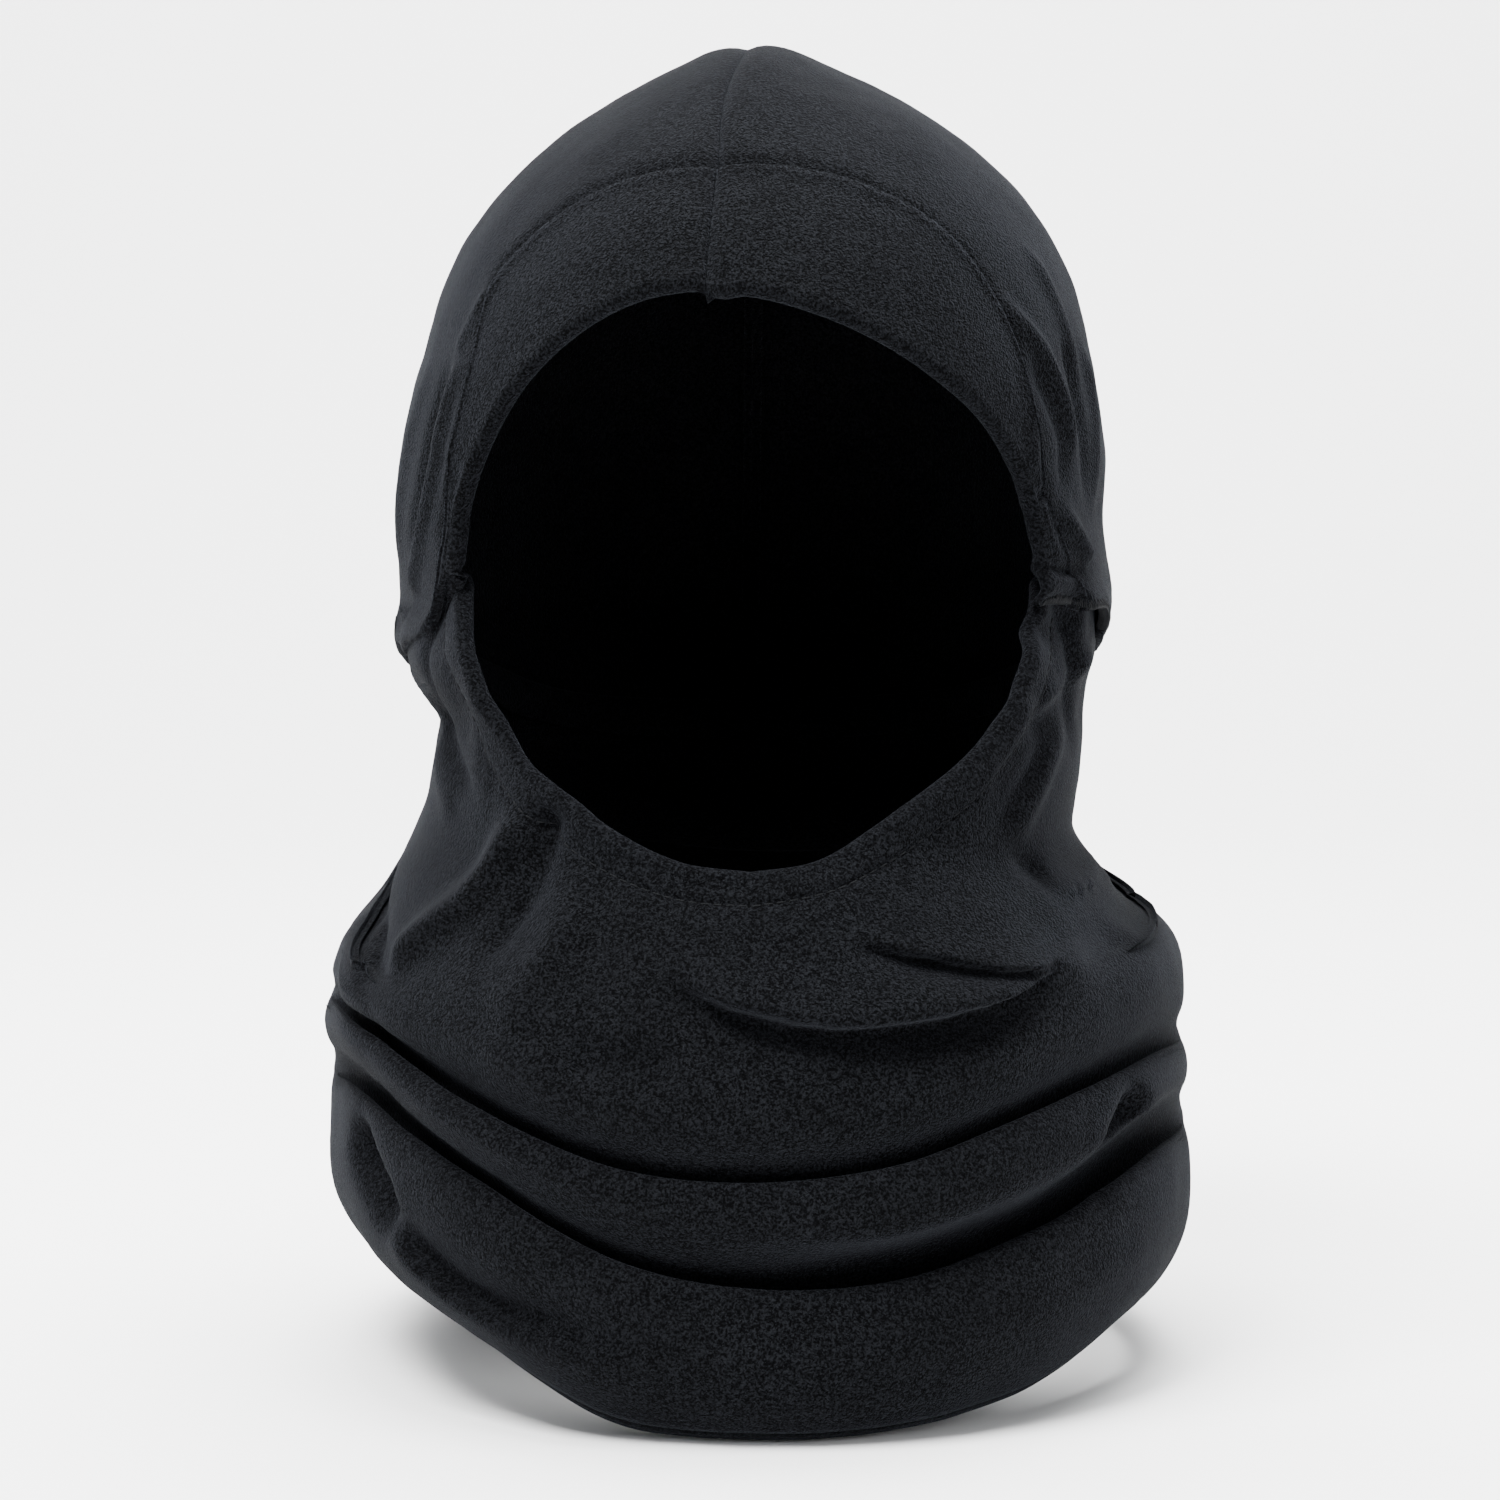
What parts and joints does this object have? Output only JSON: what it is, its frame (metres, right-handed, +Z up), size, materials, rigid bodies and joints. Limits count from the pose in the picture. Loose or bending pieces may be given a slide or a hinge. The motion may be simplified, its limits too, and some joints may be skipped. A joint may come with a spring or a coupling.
{
  "type": "balaclava",
  "caption": "Hinged black fleece balaclava, with a hood, a brow casing, a slouched neck tube and a lower face panel that swings up from under the chin.",
  "frame": {"origin": "centre of the bounding box's bottom, on the surface the hem stands on", "axes": "+Z up, the face opening looks along -Y, +X is the wearer's left"},
  "size_m": [0.224, 0.2319, 0.333],
  "materials": {
    "fleece": "brushed anti-pill polar fleece",
    "seam_allowance": "overlocked fleece edge",
    "elastic": "flat braided elastic",
    "thread": "polyester thread"
  },
  "bodies": {
    "hood": {"hood_panel_left": "fleece", "hood_panel_right": "fleece", "crown_seam": "seam_allowance", "brow_band_left": "fleece", "brow_band_right": "fleece", "brow_elastic": "elastic", "neck_front": "fleece", "neck_back": "fleece", "side_seam_left": "seam_allowance", "side_seam_right": "seam_allowance", "neck_join_seam": "seam_allowance", "bottom_hem": "fleece", "hinge_tack_left": "thread", "hinge_tack_right": "thread"},
    "face_panel": {"chin_panel": "fleece", "chin_hem": "fleece", "chin_elastic": "elastic"}
  },
  "joints": [
    {"name": "face_panel_hinge", "type": "hinge", "parent": "hood", "child": "face_panel", "pos_m": [0, -0.02, 0.17], "axis": [-1, 0, 0], "range_deg": [0, 46]}
  ]
}
